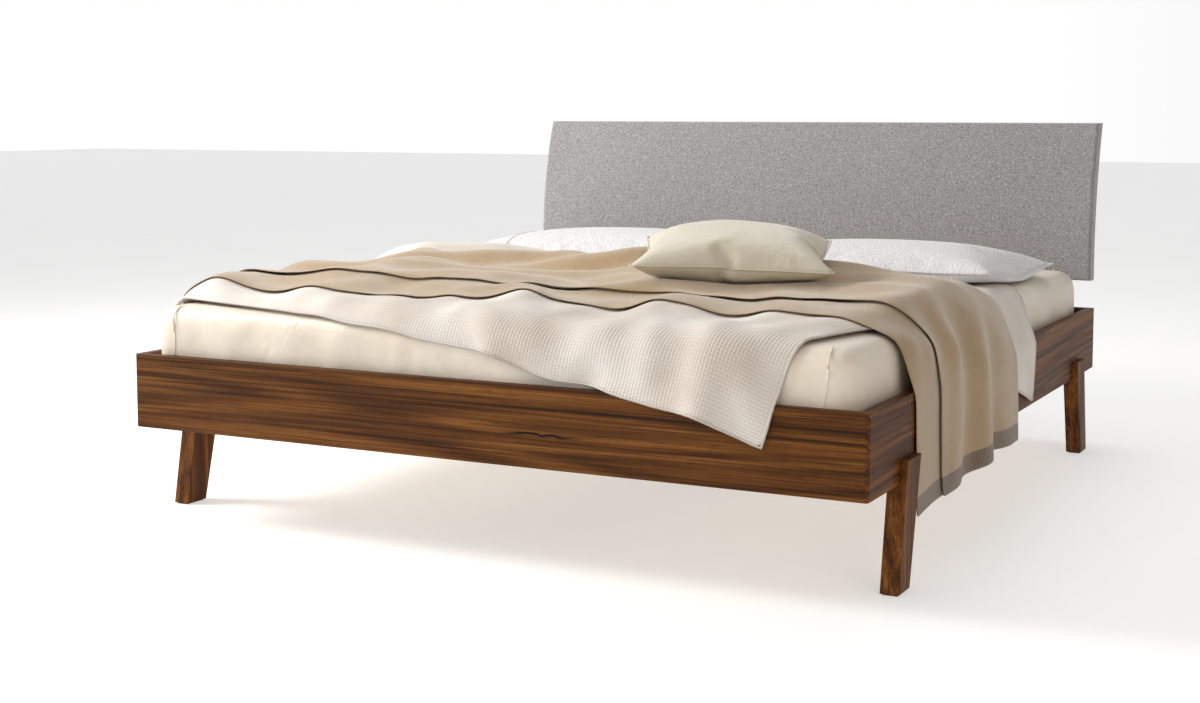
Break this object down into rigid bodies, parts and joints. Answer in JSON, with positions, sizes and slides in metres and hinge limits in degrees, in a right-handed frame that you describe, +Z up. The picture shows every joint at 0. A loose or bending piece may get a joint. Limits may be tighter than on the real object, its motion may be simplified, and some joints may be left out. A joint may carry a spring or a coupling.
{
  "type": "low platform bed with a curved upholstered headboard",
  "caption": "Low walnut platform bed on splayed legs, with a curved felt headboard, a mattress on sprung slats, a draped duvet, a folded throw, pillows and a cushion.",
  "frame": {"origin": "on the floor under the middle of the frame, at the centre of the centre foot pad", "axes": "+X to the right side seen from the foot end, +Y to the head end, +Z up"},
  "size_m": [1.938, 2.208, 0.96],
  "materials": {
    "walnut": "oiled walnut, medium dark, satin",
    "birch": "clear-lacquered birch laminate",
    "pine": "plain planed softwood",
    "black_steel": "black powder coat",
    "zinc_steel": "zinc-plated steel",
    "black_rubber": "matt black rubber",
    "glide_felt": "dense brown felt",
    "grey_felt": "grey melange wool felt",
    "back_cloth": "black non-woven lining",
    "sheet_satin": "cream cotton satin",
    "duvet_waffle": "off-white waffle weave",
    "throw_wool": "sand felted wool",
    "pillow_cotton": "white seersucker cotton",
    "cushion_satin": "ivory satin"
  },
  "bodies": {
    "frame": {"base_left_inner_member": "pine", "base_left_outer_member": "pine", "base_left_slat_holders": "black_rubber", "base_right_inner_member": "pine", "base_right_outer_member": "pine", "base_right_slat_holders": "black_rubber", "beam_hanger_foot": "black_steel", "beam_hanger_head": "black_steel", "centre_beam": "pine", "centre_leg": "black_steel", "centre_leg_screws": "zinc_steel", "centre_lock_nut": "zinc_steel", "corner_bracket_foot_left": "black_steel", "corner_bracket_foot_right": "black_steel", "corner_bracket_head_left": "black_steel", "corner_bracket_head_right": "black_steel", "corner_screws": "zinc_steel", "foot_rail": "walnut", "hanger_screws": "zinc_steel", "head_rail": "walnut", "headboard_back_cover": "back_cloth", "headboard_bolts": "zinc_steel", "headboard_bracket_left": "black_steel", "headboard_bracket_right": "black_steel", "headboard_core": "birch", "headboard_cover": "grey_felt", "ledge_left": "pine", "ledge_right": "pine", "ledge_screws": "zinc_steel", "leg_bolts": "zinc_steel", "leg_foot_left": "walnut", "leg_foot_right": "walnut", "leg_glides": "glide_felt", "leg_head_left": "walnut", "leg_head_right": "walnut", "side_rail_left": "walnut", "side_rail_right": "walnut", "slat_row_01": "birch", "slat_row_02": "birch", "slat_row_03": "birch", "slat_row_04": "birch", "slat_row_05": "birch", "slat_row_06": "birch", "slat_row_07": "birch", "slat_row_08": "birch", "slat_row_09": "birch", "slat_row_10": "birch", "slat_row_11": "birch", "slat_row_12": "birch", "slat_row_13": "birch", "slat_row_14": "birch"},
    "mattress": {"mattress": "sheet_satin", "duvet": "duvet_waffle", "throw": "throw_wool"},
    "pillow_left": {"pillow_left": "pillow_cotton"},
    "pillow_right": {"pillow_right": "pillow_cotton"},
    "cushion": {"cushion": "cushion_satin"},
    "centre_foot": {"centre_foot": "zinc_steel"}
  },
  "joints": [
    {"name": "mattress_lift", "type": "slide", "parent": "frame", "child": "mattress", "axis": [0, 0, 1], "range_m": [0, 0.25]},
    {"name": "pillow_left_lift", "type": "slide", "parent": "mattress", "child": "pillow_left", "axis": [0, 0, 1], "range_m": [0, 0.3]},
    {"name": "pillow_right_lift", "type": "slide", "parent": "mattress", "child": "pillow_right", "axis": [0, 0, 1], "range_m": [0, 0.3]},
    {"name": "cushion_lift", "type": "slide", "parent": "mattress", "child": "cushion", "axis": [0, 0, 1], "range_m": [0, 0.3]},
    {"name": "centre_foot_screw", "type": "slide", "parent": "frame", "child": "centre_foot", "axis": [0, 0, 1], "range_m": [0, 0.02]}
  ]
}
